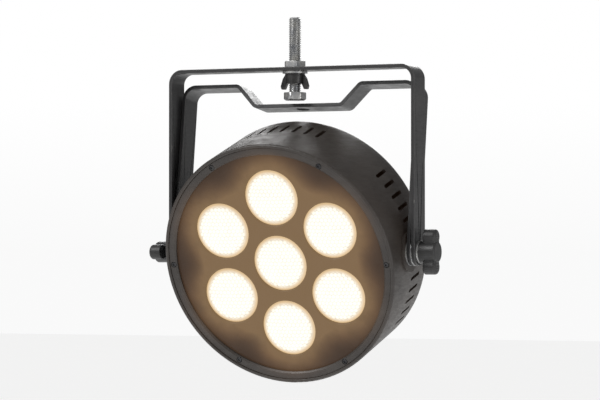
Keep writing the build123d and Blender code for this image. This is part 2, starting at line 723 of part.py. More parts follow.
def dmx_in_shell():
    """Signal inlet: a cup with three pins in it."""
    cup = along_y(9.6, PANEL_OUT - 14, PANEL_OUT + 5, -DMX_X, DMX_Z)
    shell = dmx_flange(-1) - cup
    for x, z in dmx_pin_places(-1):
        shell -= along_y(1.2, PANEL_OUT - 20, PANEL_OUT, x, z)
    return shell


def dmx_in_pins():
    return Compound([along_y(1.2, PANEL_OUT - 20, PANEL_OUT - 1, x, z) for x, z in dmx_pin_places(-1)])


def dmx_out_shell():
    """Signal outlet: a ring round the socket insert, with a slot for the release tab at its top."""
    shell = dmx_flange(1) - along_y(10.4, PANEL_OUT - 15, PANEL_OUT + 5, DMX_X, DMX_Z)
    return shell - plate(*TAB_SLOT, PANEL_OUT - 12, PANEL_OUT + 5, DMX_X, DMX_Z + TAB_Z)


def dmx_out_insert():
    insert = along_y(8.2, PANEL_OUT - 15, PANEL_OUT + 2.4, DMX_X, DMX_Z)
    for x, z in dmx_pin_places(1):
        insert -= along_y(1.4, PANEL_OUT - 12, PANEL_OUT + 3, x, z)
    return insert


def latch_tab():
    """Release tab of the signal outlet."""
    return plate(8.0, 3.0, PANEL_OUT - 6, PANEL_OUT + 5, DMX_X, DMX_Z + TAB_Z + 1, corner=0.8)


def mains_flange(side):
    flange = plate(*MAINS_FLANGE, PANEL_OUT, PANEL_OUT + 2, side * MAINS_X, MAINS_Z, corner=2)
    body = plate(*MAINS_BODY, PANEL_OUT - 19, PANEL_OUT + 1, side * MAINS_X, MAINS_Z)
    return flange + body


def blade_places(side):
    """The three contacts: live and neutral on the sides, earth above them in the middle."""
    x = side * MAINS_X
    return [(x - 7, MAINS_Z - 2), (x + 7, MAINS_Z - 2), (x, MAINS_Z + 2)]


def power_inlet():
    cavity = plate(24, 16.4, PANEL_OUT - 15, PANEL_OUT + 3, -MAINS_X, MAINS_Z, corner=2)
    body = mains_flange(-1) - cavity
    for x, z in blade_places(-1):
        body -= plate(2, 4, PANEL_OUT - 20, PANEL_OUT, x, z)
    return body


def inlet_blades():
    return Compound([plate(2, 4, PANEL_OUT - 20, PANEL_OUT - 4, x, z) for x, z in blade_places(-1)])


def power_outlet():
    groove = plate(25, 17.4, PANEL_OUT - 13, PANEL_OUT + 3, MAINS_X, MAINS_Z, corner=2)
    groove -= plate(21, 13.4, PANEL_OUT - 14, PANEL_OUT + 4, MAINS_X, MAINS_Z, corner=1.5)
    body = mains_flange(1) - groove
    for x, z in blade_places(1):
        body -= plate(2.6, 4.6, PANEL_OUT - 16, PANEL_OUT + 3, x, z)
    return body


def fuse_holder():
    body = along_y(7.0, PANEL_OUT - 27, PANEL_OUT + 1, FUSE_X, FUSE_Z)
    body += along_y(9.5, PANEL_OUT, PANEL_OUT + 1.5, FUSE_X, FUSE_Z)
    return body - along_y(5.6, PANEL_OUT - 25.5, PANEL_OUT + 2, FUSE_X, FUSE_Z)


def fuse_cap():
    """Bayonet cap with a screwdriver slot; its skirt grips the end of the fuse."""
    cap = along_y(5.52, PANEL_OUT - 6, PANEL_OUT + 1.6, FUSE_X, FUSE_Z)
    head = along_y(7.4, PANEL_OUT + 1.6, PANEL_OUT + 5, FUSE_X, FUSE_Z)
    cap += fillet(head.edges().sort_by(Axis.Y)[-1], 1.0)
    cap -= plate(10, 1.4, PANEL_OUT + 3.6, PANEL_OUT + 6, FUSE_X, FUSE_Z)
    return cap - along_y(2.65, PANEL_OUT - 7, PANEL_OUT - 2, FUSE_X, FUSE_Z)


def glass_fuse():
    return along_y(2.6, PANEL_OUT - 23, PANEL_OUT - 3, FUSE_X, FUSE_Z)


def safety_eye():
    """U-shaped steel eye for the safety cable, with a nut on each leg inside the cover."""
    leg_end = PANEL_IN - 6
    top = PANEL_OUT + 12
    line = FilletPolyline((-EYE_HALF, leg_end, EYE_Z), (-EYE_HALF, top, EYE_Z), (EYE_HALF, top, EYE_Z),
                          (EYE_HALF, leg_end, EYE_Z), radius=EYE_HALF - 0.1)
    start = Plane((-EYE_HALF, leg_end, EYE_Z), z_dir=(0, 1, 0))
    loop = sweep(start * Circle(EYE_R), path=line)
    for x in (-EYE_HALF, EYE_HALF):
        nut = extrude(RegularPolygon(3.5, 6, major_radius=False), 3)
        loop += Pos(x, PANEL_IN - REAR_WALL, EYE_Z) * Rot(90, 0, 0) * nut
    return loop


# Nodes ------------------------------------------------------------------------------------------

def bracket_nodes():
    pivot_left = mirror(hand_knob(), Plane.YZ)
    return {
        "hanging_bracket": AT_PIVOT * hanging_bracket(),
        "hanging_bolt": hanging_bolt(),
        "bolt_lock_nut": bolt_lock_nut(),
        "bolt_washer": bolt_washer(),
        "wing_nut": wing_nut(),
        "floor_bracket": IN_FLOOR_BRACKET * floor_bracket(),
        "middle_washers": AT_PIVOT * both_sides(middle_washer()),
        "knob_washers": AT_PIVOT * both_sides(knob_washer()),
        "knob_right": AT_PIVOT * hand_knob(),
        "knob_left": AT_PIVOT * Rot(90, 0, 0) * pivot_left,
        "knob_stud_right": AT_PIVOT * knob_stud(),
        "knob_stud_left": AT_PIVOT * mirror(knob_stud(), Plane.YZ),
    }


def head_nodes():
    """Nodes of the head, still level and centred on the tilt axis."""
    nodes = {
        "inner_washers": both_sides(inner_washer()),
        "pivot_inserts": both_sides(pivot_insert()),
        "main_shell": main_shell(),
        "front_bezel": front_bezel(),
        "bezel_screws": bezel_screws(),
        "lens_plate": lens_plate(),
        "face_gasket": face_gasket(),
        "lens_holders": Compound([Pos(x, 0, z) * lens_holder() for x, z in lens_places()]),
        "led_emitters": Compound([Pos(x, 0, z) * led_emitter() for x, z in lens_places()]),
        "led_board": led_board(),
        "heat_sink": heat_sink(),
        "inner_screws": inner_screws(),
        "fan_frame": fan_frame(),
        "fan_rotor": fan_rotor(),
        "power_board": power_board(),
        "driver_board": driver_board(),
        "standoffs": standoffs(),
        "control_board": control_board(),
        "tact_switches": tact_switches(),
        "display_module": display_module(),
        "display_window": display_window(),
        "rear_shell": rear_shell(),
        "rear_screws": rear_screws(),
        "rear_panel": rear_panel(),
        "panel_screws": panel_screws(),
        "dmx_in_shell": dmx_in_shell(),
        "dmx_in_pins": dmx_in_pins(),
        "dmx_out_shell": dmx_out_shell(),
        "dmx_out_insert": dmx_out_insert(),
        "latch_tab": latch_tab(),
        "power_inlet": power_inlet(),
        "inlet_blades": inlet_blades(),
        "power_outlet": power_outlet(),
        "fuse_holder": fuse_holder(),
        "fuse_cap": fuse_cap(),
        "glass_fuse": glass_fuse(),
        "safety_eye": safety_eye(),
    }
    for number, (x, z) in enumerate(lens_places(), start=1):
        nodes[f"lens_{number}"] = Pos(x, 0, z) * lens()
    for number, x in enumerate(BUTTON_XS, start=1):
        nodes[f"button_{number}"] = button(x)
    return nodes


os.makedirs("parts", exist_ok=True)
all_nodes = bracket_nodes()
for node_name, level_shape in head_nodes().items():
    all_nodes[node_name] = IN_HEAD * level_shape
for node_name, shape in all_nodes.items():
    export_step(shape, f"parts/{node_name}.step")
print(len(all_nodes), "nodes")
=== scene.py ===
import json
import math

import bmesh
import bpy
from mathutils import Matrix, Vector


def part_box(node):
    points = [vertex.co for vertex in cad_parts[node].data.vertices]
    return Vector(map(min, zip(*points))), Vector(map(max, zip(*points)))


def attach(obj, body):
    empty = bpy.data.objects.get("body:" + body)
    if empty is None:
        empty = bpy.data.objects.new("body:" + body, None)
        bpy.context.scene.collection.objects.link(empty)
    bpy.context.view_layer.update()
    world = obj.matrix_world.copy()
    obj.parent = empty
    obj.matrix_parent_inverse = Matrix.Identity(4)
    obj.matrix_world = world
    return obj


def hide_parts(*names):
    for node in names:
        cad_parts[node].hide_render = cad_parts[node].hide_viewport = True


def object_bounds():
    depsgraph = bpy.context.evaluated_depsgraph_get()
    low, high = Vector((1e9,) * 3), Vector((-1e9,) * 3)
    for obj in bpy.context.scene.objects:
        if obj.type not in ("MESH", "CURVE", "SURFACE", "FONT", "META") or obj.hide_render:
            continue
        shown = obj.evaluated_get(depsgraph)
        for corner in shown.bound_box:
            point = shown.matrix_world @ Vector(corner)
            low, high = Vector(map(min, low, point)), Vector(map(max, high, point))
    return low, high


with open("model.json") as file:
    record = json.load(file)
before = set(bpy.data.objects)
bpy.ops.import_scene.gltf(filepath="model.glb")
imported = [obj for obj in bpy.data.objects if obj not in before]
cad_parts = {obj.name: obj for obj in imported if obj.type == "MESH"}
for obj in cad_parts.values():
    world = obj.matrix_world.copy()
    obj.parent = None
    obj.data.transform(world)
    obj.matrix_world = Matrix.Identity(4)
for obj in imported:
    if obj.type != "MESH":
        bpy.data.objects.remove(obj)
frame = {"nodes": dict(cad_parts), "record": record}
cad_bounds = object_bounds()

# Lit LED par can hanging from its double bracket, in metres. The lenses look towards -Y.
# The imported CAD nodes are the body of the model; the pieces made here stand for or dress some of them.

MM = 0.001
NODES = frame["nodes"]


# Places worked out from the frame ---------------------------------------------------------------

def middle(node):
    low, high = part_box(node)
    return (low + high) / 2


PIVOT = Vector((0, *middle("knob_stud_right")[1:]))
HEAD_TILT = math.radians(18)
HEAD = Matrix.Translation(PIVOT) @ Matrix.Rotation(HEAD_TILT, 4, "X")
HEAD_TO_LEVEL = HEAD.inverted()


def head_box(node):
    """Lowest and highest corner of a node of the head, as if the head looked level."""
    corners = [HEAD_TO_LEVEL @ vertex.co for vertex in NODES[node].data.vertices]
    low = Vector([min(corner[axis] for corner in corners) for axis in range(3)])
    high = Vector([max(corner[axis] for corner in corners) for axis in range(3)])
    return low, high


LENS_NODES = [f"lens_{number}" for number in range(1, 8)]
LENS_BOXES = {node: head_box(node) for node in LENS_NODES}
LENS_RADIUS = 22.6 * MM


def lens_front(node):
    """Middle of a lens's front, as if the head looked level."""
    low, high = LENS_BOXES[node]
    return Vector(((low.x + high.x) / 2, low.y, (low.z + high.z) / 2))


# Material nodes ---------------------------------------------------------------------------------

# The Mix node has sockets of the same name for numbers, vectors and colours; these are the colours.
MIX_FIRST = 6
MIX_SECOND = 7
MIX_RESULT = 2


class Finish:
    """A node material: one Principled shader and the procedural nodes that feed it."""

    def __init__(self, name, **fixed):
        """The fixed values are for the shader's own sockets, named in lower case with underscores."""
        self.material = bpy.data.materials.new(name)
        self.material.use_nodes = True
        self.tree = self.material.node_tree
        self.shader = self.tree.nodes["Principled BSDF"]
        self.coordinates = self.node("ShaderNodeTexCoord")
        self.place = self.coordinates.outputs["Object"]
        self.normal = None
        for key, value in fixed.items():
            self.feed(key.replace("_", " ").title().replace("Ior", "IOR"), value)

    def node(self, kind, **settings):
        made = self.tree.nodes.new(kind)
        for key, value in settings.items():
            setattr(made, key, value)
        return made

    def put(self, target, value):
        """Gives a socket a fixed value, or links it to another socket."""
        if isinstance(value, bpy.types.NodeSocket):
            self.tree.links.new(value, target)
        elif isinstance(value, (tuple, list)) and len(value) == 3 and target.type == "RGBA":
            target.default_value = (*value, 1)
        else:
            target.default_value = value

    def feed(self, socket, value):
        self.put(self.shader.inputs[socket], value)

    def stretched(self, along):
        """Object coordinates scaled by one factor for each axis."""
        mapping = self.node("ShaderNodeMapping")
        self.put(mapping.inputs["Vector"], self.place)
        mapping.inputs["Scale"].default_value = along
        return mapping.outputs["Vector"]

    def noise(self, scale, detail=3.0, roughness=0.5, along=None):
        made = self.node("ShaderNodeTexNoise")
        self.put(made.inputs["Vector"], self.stretched(along) if along else self.place)
        made.inputs["Scale"].default_value = scale
        made.inputs["Detail"].default_value = detail
        made.inputs["Roughness"].default_value = roughness
        return made.outputs["Fac"]

    def cells(self, scale, distance="EUCLIDEAN"):
        """Distance from the middle of the nearest cell."""
        made = self.node("ShaderNodeTexVoronoi", feature="F1", distance=distance)
        self.put(made.inputs["Vector"], self.place)
        made.inputs["Scale"].default_value = scale
        return made.outputs["Distance"]

    def spread(self, value, low, high, start=0.0, end=1.0, smooth=False):
        """Maps start..end of a value to low..high."""
        made = self.node("ShaderNodeMapRange")
        made.interpolation_type = "SMOOTHSTEP" if smooth else "LINEAR"
        for socket, amount in (("Value", value), ("From Min", start), ("From Max", end),
                               ("To Min", low), ("To Max", high)):
            self.put(made.inputs[socket], amount)
        return made.outputs["Result"]

    def combine(self, operation, first, second):
        made = self.node("ShaderNodeMath", operation=operation)
        self.put(made.inputs[0], first)
        self.put(made.inputs[1], second)
        return made.outputs[0]

    def blend(self, share, first, second):
        """Colour between the first, at share 0, and the second, at share 1."""
        made = self.node("ShaderNodeMix", data_type="RGBA")
        self.put(made.inputs["Factor"], share)
        self.put(made.inputs[MIX_FIRST], first)
        self.put(made.inputs[MIX_SECOND], second)
        return made.outputs[MIX_RESULT]

    def relief(self, height, depth):
        """Adds a bump of that depth in metres on top of the ones before it."""
        made = self.node("ShaderNodeBump")
        made.inputs["Strength"].default_value = 1.0
        made.inputs["Distance"].default_value = depth
        self.put(made.inputs["Height"], height)
        if self.normal is not None:
            self.put(made.inputs["Normal"], self.normal)
        self.normal = made.outputs["Normal"]
        self.feed("Normal", self.normal)

    def upward(self):
        """0 to 1: how far a surface faces up, for settled dust."""
        split = self.node("ShaderNodeSeparateXYZ")
        self.put(split.inputs[0], self.coordinates.outputs["Normal"])
        return self.spread(split.outputs["Z"], 0.0, 1.0, 0.35, 1.0)


# Materials --------------------------------------------------------------------------------------

DUST = (0.20, 0.19, 0.175)


def powder_coat(name, dark, light, rough, painted_light=None):
    """Baked powder paint: orange peel, fine grain, uneven gloss, dust on top faces, and painted lens light
    as emission where asked.
    """
    coat = Finish(name, specular_ior_level=0.5)
    # Painted light of the lit lenses, as warm emission on this coat.
    if painted_light:
        painted_lens_light(coat, *painted_light)
    cloud = coat.noise(38, 4, 0.55)
    colour = coat.blend(coat.spread(cloud, 0, 1, 0.3, 0.7), dark, light)
    dust = coat.spread(coat.noise(160, 6, 0.7), 0, 0.12, 0.35, 0.75)
    coat.feed("Base Color", coat.blend(coat.combine("MULTIPLY", coat.upward(), dust), colour, DUST))
    scuffs = coat.noise(90, 8, 0.68, along=(1, 1, 5))
    coat.feed("Roughness", coat.spread(scuffs, *rough, 0.35, 0.65))
    coat.relief(coat.noise(780, 2, 0.45), 0.035 * MM)
    coat.relief(coat.noise(2600, 2), 0.008 * MM)
    return coat.material


def worn_edge(name, paint, bare):
    """Edge of a painted part: the paint is thin and rubbed, and metal shows here and there."""
    edge = Finish(name)
    rubbed = edge.spread(edge.noise(130, 6, 0.62), 0, 0.8, 0.60, 0.72, smooth=True)
    polished = edge.blend(edge.noise(60, 3), paint, tuple(1.7 * channel for channel in paint))
    edge.feed("Base Color", edge.blend(rubbed, polished, bare))
    edge.feed("Metallic", edge.spread(rubbed, 0, 0.85))
    edge.feed("Roughness", edge.spread(edge.noise(500, 4), 0.28, 0.45, 0.3, 0.7))
    edge.relief(edge.noise(900, 3), 0.02 * MM)
    return edge.material


def plated_steel(name, low, high, rough=(0.24, 0.42), turn=(1, 1, 14)):
    """Bare or plated metal: machining lines, blotchy colour, uneven gloss."""
    steel = Finish(name, metallic=1.0)
    blotch = steel.noise(120, 5, 0.6)
    steel.feed("Base Color", steel.blend(steel.spread(blotch, 0, 1, 0.3, 0.7), low, high))
    lines = steel.noise(420, 3, 0.6, along=turn)
    steel.feed("Roughness", steel.spread(steel.combine("ADD", lines, blotch), *rough, 0.7, 1.3))
    steel.relief(lines, 0.012 * MM)
    return steel.material


def moulded_plastic(name, low, high, rough=(0.38, 0.55)):
    """Injection-moulded plastic: spark-eroded grain, flow marks, handled patches."""
    plastic = Finish(name)
    flow = plastic.noise(45, 3, 0.5, along=(1, 1, 2.5))
    plastic.feed("Base Color", plastic.blend(plastic.spread(flow, 0, 1, 0.3, 0.7), low, high))
    handled = plastic.noise(75, 6, 0.66)
    plastic.feed("Roughness", plastic.spread(handled, *rough, 0.35, 0.65))
    plastic.relief(plastic.cells(1900), 0.02 * MM)
    plastic.relief(flow, 0.03 * MM)
    return plastic.material


# Painted light: the warm spill of the lit lenses, painted as emission on the face plate and housing round
# them.
PAINTED_LIGHT_END = LENS_RADIUS + 32 * MM      # how far from a lens's middle its painted light ends
PAINTED_LIGHT_FALLOFF = 2.2
PAINTED_LIGHT_MOST = 1.25                      # cap where the painted light of several lenses adds up
# Colours of the painted lens light, far from the lenses and next to them.
PAINTED_LIGHT_FAR = (0.80, 0.38, 0.17)
PAINTED_LIGHT_NEAR = (1.0, 0.60, 0.27)


def painted_lens_light(finish, far, near_lens):
    """Painted light: warm brown spill of the lit lenses, put as emission on what is round them; it fades
    away from each lens.
    """
    shares = []
    for node in LENS_NODES:
        away = finish.node("ShaderNodeVectorMath", operation="DISTANCE")
        finish.put(away.inputs[0], finish.place)
        away.inputs[1].default_value = HEAD @ lens_front(node)
        share = finish.spread(away.outputs["Value"], 1, 0, LENS_RADIUS, PAINTED_LIGHT_END, smooth=True)
        shares.append(finish.combine("POWER", share, PAINTED_LIGHT_FALLOFF))
    total = shares[0]
    for share in shares[1:]:
        total = finish.combine("ADD", total, share)
    near = finish.combine("MINIMUM", total, PAINTED_LIGHT_MOST)
    mottled = finish.combine("MULTIPLY", near, finish.spread(finish.noise(70, 4), 0.8, 1.2, 0.3, 0.7))
    finish.feed("Emission Color", finish.blend(near, PAINTED_LIGHT_FAR, PAINTED_LIGHT_NEAR))
    finish.feed("Emission Strength", finish.spread(mottled, far, near_lens))


def lit_face(name):
    """Satin black face plate round the lenses, with the lenses' light painted on it as warm brown emission.
    """
    face = Finish(name, specular_ior_level=0.25)
    cloud = face.noise(30, 4)
    face.feed("Base Color", face.blend(cloud, (0.012, 0.009, 0.007), (0.020, 0.015, 0.011)))
    # Painted light: the lenses' warm spill, strongest beside each lens.
    painted_lens_light(face, 0.040, 0.19)
    face.feed("Roughness", face.spread(face.noise(110, 6, 0.65), 0.48, 0.62, 0.35, 0.65))
    face.relief(face.noise(820, 2), 0.03 * MM)
    return face.material


# What the lens mesh carries for its material: 0 to 1 from the middle to the rim, 0 to 1 from between
# the beads to the top of one, and 1 on the front.
LENS_LAYERS = ("rim", "bead", "front")


def lit_acrylic(name):
    """Lens that glows warm white: dimmer and browner at its rim and between the beads, dark behind."""
    lens = Finish(name, base_color=(0.08, 0.075, 0.06), roughness=0.12,
                  coat_weight=0.5, coat_roughness=0.05)
    rim, bead, front = [lens.node("ShaderNodeAttribute", attribute_name=layer).outputs["Fac"]
                        for layer in LENS_LAYERS]
    edge = lens.spread(rim, 0, 1, 0.80, 1.0, smooth=True)
    brown = lens.combine("ADD", edge, lens.spread(bead, 0.22, 0))
    lens.feed("Emission Color", lens.blend(brown, (1.0, 0.975, 0.88), (1.0, 0.70, 0.38)))
    strength = lens.spread(rim, 1.04, 0.70, 0.72, 1.0, smooth=True)
    strength = lens.combine("MULTIPLY", strength, lens.spread(bead, 0.62, 1.06, 0.0, 0.7))
    strength = lens.combine("MULTIPLY", strength, front)
    cloud = lens.spread(lens.noise(160, 3), 0.96, 1.04, 0.3, 0.7)
    lens.feed("Emission Strength", lens.combine("MULTIPLY", strength, cloud))
    lens.relief(lens.noise(1500, 2), 0.004 * MM)
    return lens.material


def glowing(name, base, colour, strength, grid):
    """Small lamp that is brightest in a field of fine dots."""
    lamp = Finish(name, base_color=base, roughness=0.4)
    dots = lamp.cells(grid)
    lamp.feed("Emission Color", lamp.blend(dots, colour, base))
    lamp.feed("Emission Strength", lamp.spread(dots, strength, strength * 0.5, 0.1, 0.6))
    lamp.relief(dots, 0.02 * MM)
    return lamp.material


def circuit_board(name, mask, trace, pad):
    """Solder mask over branching copper traces, with tinned pads."""
    board = Finish(name)
    traces = board.spread(board.cells(260, "MANHATTAN"), 1, 0, 0.26, 0.32)
    pads = board.spread(board.cells(330), 1, 0, 0.13, 0.17)
    colour = board.blend(traces, mask, trace)
    board.feed("Base Color", board.blend(pads, colour, pad))
    board.feed("Metallic", board.spread(pads, 0, 0.9))
    board.feed("Roughness", board.spread(board.noise(400, 4), 0.25, 0.42, 0.3, 0.7))
    board.relief(traces, 0.03 * MM)
    board.relief(pads, 0.04 * MM)
    return board.material


def clear(name, tint, rough, ior=1.49):
    """Clear or smoked plastic and glass with faint wipe marks."""
    glass = Finish(name, transmission_weight=0.92, ior=ior)
    glass.feed("Base Color", glass.blend(glass.noise(40, 3), tint, tuple(0.8 * channel for channel in tint)))
    wipes = glass.noise(140, 6, 0.7, along=(1, 1, 6))
    glass.feed("Roughness", glass.spread(wipes, rough, rough + 0.05, 0.45, 0.75))
    return glass.material


def rubber(name):
    """Matt black rubber with pale speckles and a cellular skin."""
    sheet = Finish(name, specular_ior_level=0.3)
    speckle = sheet.noise(900, 4, 0.7)
    sheet.feed("Base Color", sheet.blend(speckle, (0.014, 0.014, 0.014), (0.045, 0.044, 0.042)))
    sheet.feed("Roughness", sheet.spread(speckle, 0.7, 0.92, 0.3, 0.7))
    sheet.relief(sheet.cells(1400), 0.05 * MM)
    return sheet.material


def pale_floor(name):
    """Near-white floor with a little light of its own, so that it meets the backdrop softly."""
    pale = Finish(name, specular_ior_level=0.2, emission_color=(1, 1, 1), emission_strength=0.50)
    pale.feed("Base Color", pale.blend(pale.noise(3, 4), (0.90, 0.90, 0.895), (0.93, 0.93, 0.925)))
    pale.feed("Roughness", pale.spread(pale.noise(40, 3), 0.7, 0.85))
    return pale.material


# The recipe of each of the record's slots, and what it is given after its name.
RECIPES = {
    "bracket_paint": (powder_coat, (0.016, 0.016, 0.017), (0.030, 0.029, 0.029), (0.30, 0.46)),
    # The housing's last pair gives the strengths of its painted lens light: faint everywhere, stronger next
    # to the lenses.
    "housing_paint": (powder_coat, (0.019, 0.016, 0.014), (0.034, 0.029, 0.025), (0.38, 0.54),
                      (0.004, 0.12)),
    "panel_paint": (powder_coat, (0.020, 0.020, 0.021), (0.032, 0.032, 0.033), (0.40, 0.58)),
    "zinc_steel": (plated_steel, (0.36, 0.37, 0.39), (0.52, 0.51, 0.48), (0.28, 0.46)),
    "black_steel": (plated_steel, (0.035, 0.035, 0.038), (0.085, 0.083, 0.080), (0.30, 0.48)),
    "inner_steel": (plated_steel, (0.48, 0.48, 0.50), (0.62, 0.62, 0.62)),
    "knob_plastic": (moulded_plastic, (0.012, 0.012, 0.012), (0.024, 0.023, 0.023)),
    "face_paint": (lit_face,),
    "gasket_rubber": (rubber,),
    "lens_acrylic": (lit_acrylic,),
    "holder_plastic": (moulded_plastic, (0.02, 0.02, 0.02), (0.035, 0.035, 0.035)),
    "phosphor": (glowing, (0.85, 0.70, 0.20), (1.0, 0.82, 0.45), 3.0, 900),
    "light_board": (circuit_board, (0.78, 0.79, 0.76), (0.86, 0.86, 0.83), (0.75, 0.72, 0.66)),
    "sink_aluminium": (plated_steel, (0.60, 0.61, 0.63), (0.74, 0.75, 0.76), (0.34, 0.52), (1, 12, 1)),
    "fan_plastic": (moulded_plastic, (0.010, 0.010, 0.011), (0.018, 0.018, 0.019), (0.25, 0.40)),
    "circuit_board": (circuit_board, (0.010, 0.10, 0.045), (0.03, 0.20, 0.08), (0.72, 0.70, 0.64)),
    "brass": (plated_steel, (0.66, 0.46, 0.18), (0.82, 0.62, 0.30), (0.22, 0.38)),
    "switch_plastic": (moulded_plastic, (0.03, 0.03, 0.03), (0.06, 0.06, 0.06)),
    "display_plastic": (moulded_plastic, (0.012, 0.012, 0.012), (0.022, 0.021, 0.021)),
    "window_acrylic": (clear, (0.62, 0.10, 0.08), 0.0),
    "button_plastic": (moulded_plastic, (0.10, 0.10, 0.105), (0.15, 0.15, 0.155), (0.45, 0.62)),
    "socket_plastic": (moulded_plastic, (0.010, 0.010, 0.010), (0.020, 0.020, 0.020), (0.26, 0.40)),
    "contact_metal": (plated_steel, (0.70, 0.64, 0.50), (0.82, 0.78, 0.66), (0.16, 0.30)),
    "fuse_glass": (clear, (0.92, 0.95, 0.94), 0.01, 1.52),
}
MATERIALS = {slot: recipe(slot, *values) for slot, (recipe, *values) in RECIPES.items()}
EDGES = {
    "bracket_paint": worn_edge("bracket_edge", (0.034, 0.033, 0.033), (0.22, 0.21, 0.20)),
    "housing_paint": worn_edge("housing_edge", (0.044, 0.039, 0.035), (0.30, 0.29, 0.28)),
    "panel_paint": worn_edge("panel_edge", (0.034, 0.034, 0.035), (0.26, 0.26, 0.26)),
}


# CAD nodes: materials, rounded edges and smooth shading -----------------------------------------

# Width of the rounded edges of each node, in millimetres; the rest only get smooth shading.
ROUNDED = {
    "hanging_bracket": 0.5, "floor_bracket": 0.5, "bolt_lock_nut": 0.5, "bolt_washer": 0.25,
    "wing_nut": 0.5, "knob_washers": 0.2, "middle_washers": 0.2, "inner_washers": 0.2,
    "display_window": 0.3,
    "power_inlet": 0.4, "power_outlet": 0.4, "dmx_in_shell": 0.4, "dmx_out_shell": 0.4,
    "fuse_cap": 0.4, "latch_tab": 0.3,
}
SHARP_TURN = 30                       # degrees; a CAD node's edges that turn by more stay edges
WELD_DISTANCE = 0.002 * MM


def shade_smooth(mesh):
    mesh.polygons.foreach_set("use_smooth", [True] * len(mesh.polygons))


def keep_sharp(thing, degrees):
    """Splits the smooth shading at edges that turn by more than that."""
    split = thing.modifiers.new("Split", "EDGE_SPLIT")
    split.split_angle = math.radians(degrees)


def round_edges(thing, width):
    bevel = thing.modifiers.new("Bevel", "BEVEL")
    bevel.width = width
    bevel.segments = 3
    bevel.limit_method = "ANGLE"
    bevel.angle_limit = math.radians(SHARP_TURN)
    bevel.use_clamp_overlap = True
    bevel.face_strength_mode = "FSTR_AFFECTED"
    weighted = thing.modifiers.new("Weighted", "WEIGHTED_NORMAL")
    weighted.keep_sharp = True
    weighted.use_face_influence = True
    return bevel


def dress(node, slot):
    """Gives a CAD node its material and, with modifiers only, rounded edges or smooth shading."""
    thing = NODES[node]
    mesh = thing.data
    mesh.materials.clear()
    mesh.materials.append(MATERIALS[slot])
    if "custom_normal" in mesh.attributes:
        mesh.attributes.remove(mesh.attributes["custom_normal"])
    shade_smooth(mesh)
    weld = thing.modifiers.new("Weld", "WELD")
    weld.merge_threshold = WELD_DISTANCE
    if node not in ROUNDED:
        keep_sharp(thing, SHARP_TURN)
        return
    bevel = round_edges(thing, ROUNDED[node] * MM)
    if slot in EDGES:
        mesh.materials.append(EDGES[slot])
        bevel.material = 1


def dress_all():
    for part in frame["record"]["subparts"]:
        dress(part["node"], part["material_slot"])


# Building pieces --------------------------------------------------------------------------------

def add_piece(name, build, slot, body, replaced=None, material=None):
    """A visible piece in the row frame that rides on a body and may stand for a CAD node."""
    mesh = bpy.data.meshes.new(name)
    build.to_mesh(mesh)
    build.free()
    mesh.materials.append(material or MATERIALS[slot])
    piece = bpy.data.objects.new(name, mesh)
    bpy.context.scene.collection.objects.link(piece)
    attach(piece, body)
    if replaced:
        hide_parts(replaced)
    return piece


def angles(count):
    return [2 * math.pi * step / count for step in range(count)]


def stitch(build, first, second):
    """Quads between two closed rings of vertices."""
    count = len(first)
    for index in range(count):
        after = (index + 1) % count
        build.faces.new((first[index], first[after], second[after], second[index]))


# Hanging bolt with a cut thread -----------------------------------------------------------------

BOLT_FLATS = 16 * MM
BOLT_HEAD = 6.4 * MM
BOLT_NECK_RADIUS = 5.2 * MM           # of the ring on top of the head, where the thread starts
THREAD_RADIUS = 5.0 * MM
THREAD_INSET = 0.14 * MM              # the thread is that much slimmer up to just above the lock nut
NUT_CLEARANCE = 0.5 * MM
THREAD_PITCH = 1.5 * MM
THREAD_DEPTH = 0.75 * MM
THREAD_LAYERS = 6                     # rings of vertices for each turn
THREAD_ANGLES = angles(48)
POINT_LENGTH = 1.2 * MM               # chamfer at the bolt's upper end
POINT_DEPTH = 0.9 * MM


def thread_radius(angle, height, top, nut_top):
    """Radius of the thread at one angle and height: flat crests and roots, and a chamfered end."""
    turn = height / THREAD_PITCH - angle / (2 * math.pi)
    tooth = abs(2 * (turn % 1.0) - 1)
    depth = THREAD_DEPTH * min(1.0, max(0.0, tooth * 1.25 - 0.125))
    outer = THREAD_RADIUS if height > nut_top + NUT_CLEARANCE else THREAD_RADIUS - THREAD_INSET
    lead = min(1.0, max(0.0, (top - height) / POINT_LENGTH))
    return outer - depth - (1 - lead) * POINT_DEPTH


def hexagon_radius(angle, limit):
    """Radius of the head's hexagon at one angle, turned down to a limit."""
    sector = (angle + math.pi / 6) % (math.pi / 3) - math.pi / 6
    return min(BOLT_FLATS / 2 / math.cos(sector), limit)


def bolt_ring(build, height, radii):
    """Closed ring of vertices about Z, with a radius for each angle of the thread."""
    return [build.verts.new((radius * math.cos(angle), radius * math.sin(angle), height))
            for angle, radius in zip(THREAD_ANGLES, radii)]


def head_rings(build, bottom, top):
    """Rings of the hexagon head; its corners are turned off at both ends."""
    flats = BOLT_FLATS / 2
    corner = flats * 1.12
    levels = [(bottom, flats * 0.45), (bottom, flats * 0.93), (bottom + 0.6 * MM, flats * 1.045),
              (bottom + 1.1 * MM, corner), (top - 0.3 * MM, corner), (top, flats * 1.07),
              (top, BOLT_NECK_RADIUS)]
    return [bolt_ring(build, height, [hexagon_radius(angle, limit) for angle in THREAD_ANGLES])
            for height, limit in levels]


def thread_rings(build, bottom, top, nut_top):
    layers = int((top - bottom) / THREAD_PITCH * THREAD_LAYERS)
    heights = [bottom + (top - bottom) * layer / layers for layer in range(layers + 1)]
    return [bolt_ring(build, height, [thread_radius(angle, height, top, nut_top) for angle in THREAD_ANGLES])
            for height in heights]


